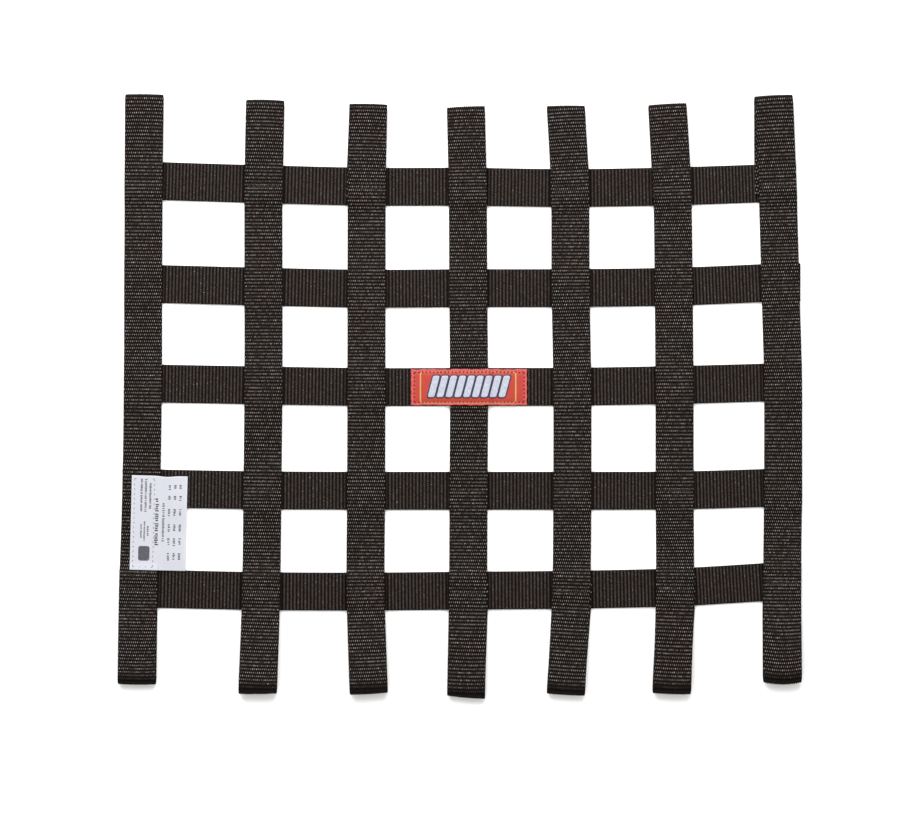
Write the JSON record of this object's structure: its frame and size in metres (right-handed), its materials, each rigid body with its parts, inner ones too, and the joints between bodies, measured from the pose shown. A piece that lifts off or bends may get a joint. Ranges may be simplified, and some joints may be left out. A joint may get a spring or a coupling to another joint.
{
  "type": "ribbon window net",
  "caption": "Flat webbing net of sewn upright and cross straps, with folded loops at both ends for mounting rods.",
  "frame": {"origin": "on the surface that the net lies on, under the middle of its box", "axes": "+X across the net, along the cross straps; +Y up the net, along the upright straps; +Z out of its front"},
  "size_m": [0.4474, 0.3866, 0.0126],
  "materials": {
    "black_webbing": "ribbed polyester webbing",
    "black_thread": "bonded thread",
    "red_patch": "printed satin patch",
    "dark_red_thread": "thread",
    "white_label": "smooth coated label cloth",
    "grey_thread": "thread"
  },
  "bodies": {
    "column_1": {"upright_strap_1": "black_webbing", "stitching_1": "black_thread", "cross_strap_1_span_1": "black_webbing", "cross_strap_2_span_1": "black_webbing", "cross_strap_3_span_1": "black_webbing", "cross_strap_4_span_1": "black_webbing", "cross_strap_5_span_1": "black_webbing", "date_label": "white_label", "date_label_thread": "grey_thread"},
    "column_2": {"upright_strap_2": "black_webbing", "stitching_2": "black_thread", "cross_strap_1_span_2": "black_webbing", "cross_strap_2_span_2": "black_webbing", "cross_strap_3_span_2": "black_webbing", "cross_strap_4_span_2": "black_webbing", "cross_strap_5_span_2": "black_webbing"},
    "column_3": {"upright_strap_3": "black_webbing", "stitching_3": "black_thread", "cross_strap_1_span_3": "black_webbing", "cross_strap_2_span_3": "black_webbing", "cross_strap_3_span_3": "black_webbing", "cross_strap_4_span_3": "black_webbing", "cross_strap_5_span_3": "black_webbing"},
    "column_4": {"upright_strap_4": "black_webbing", "stitching_4": "black_thread", "cross_strap_1_span_4": "black_webbing", "cross_strap_2_span_4": "black_webbing", "cross_strap_3_span_4": "black_webbing", "cross_strap_4_span_4": "black_webbing", "cross_strap_5_span_4": "black_webbing", "name_patch": "red_patch", "name_patch_thread": "dark_red_thread"},
    "column_5": {"upright_strap_5": "black_webbing", "stitching_5": "black_thread", "cross_strap_1_span_5": "black_webbing", "cross_strap_2_span_5": "black_webbing", "cross_strap_3_span_5": "black_webbing", "cross_strap_4_span_5": "black_webbing", "cross_strap_5_span_5": "black_webbing"},
    "column_6": {"upright_strap_6": "black_webbing", "stitching_6": "black_thread", "cross_strap_1_span_6": "black_webbing", "cross_strap_2_span_6": "black_webbing", "cross_strap_3_span_6": "black_webbing", "cross_strap_4_span_6": "black_webbing", "cross_strap_5_span_6": "black_webbing"},
    "column_7": {"upright_strap_7": "black_webbing", "stitching_7": "black_thread", "cross_strap_1_span_7": "black_webbing", "cross_strap_2_span_7": "black_webbing", "cross_strap_3_span_7": "black_webbing", "cross_strap_4_span_7": "black_webbing", "cross_strap_5_span_7": "black_webbing"}
  },
  "joints": [
    {"name": "flex_1_2", "type": "hinge", "parent": "column_2", "child": "column_1", "pos_m": [-0.17095, 0, 0.00075], "axis": [0, 1, 0], "range_deg": [-50, 50]},
    {"name": "flex_2_3", "type": "hinge", "parent": "column_3", "child": "column_2", "pos_m": [-0.097, 0, 0.00075], "axis": [0, 1, 0], "range_deg": [-50, 50]},
    {"name": "flex_3_4", "type": "hinge", "parent": "column_4", "child": "column_3", "pos_m": [-0.04235, 0, 0.00075], "axis": [0, 1, 0], "range_deg": [-50, 50]},
    {"name": "flex_4_5", "type": "hinge", "parent": "column_4", "child": "column_5", "pos_m": [0.05055, 0, 0.00075], "axis": [0, -1, 0], "range_deg": [-50, 50]},
    {"name": "flex_5_6", "type": "hinge", "parent": "column_5", "child": "column_6", "pos_m": [0.1052, 0, 0.00075], "axis": [0, -1, 0], "range_deg": [-50, 50]},
    {"name": "flex_6_7", "type": "hinge", "parent": "column_6", "child": "column_7", "pos_m": [0.17505, 0, 0.00075], "axis": [0, -1, 0], "range_deg": [-50, 50]}
  ]
}
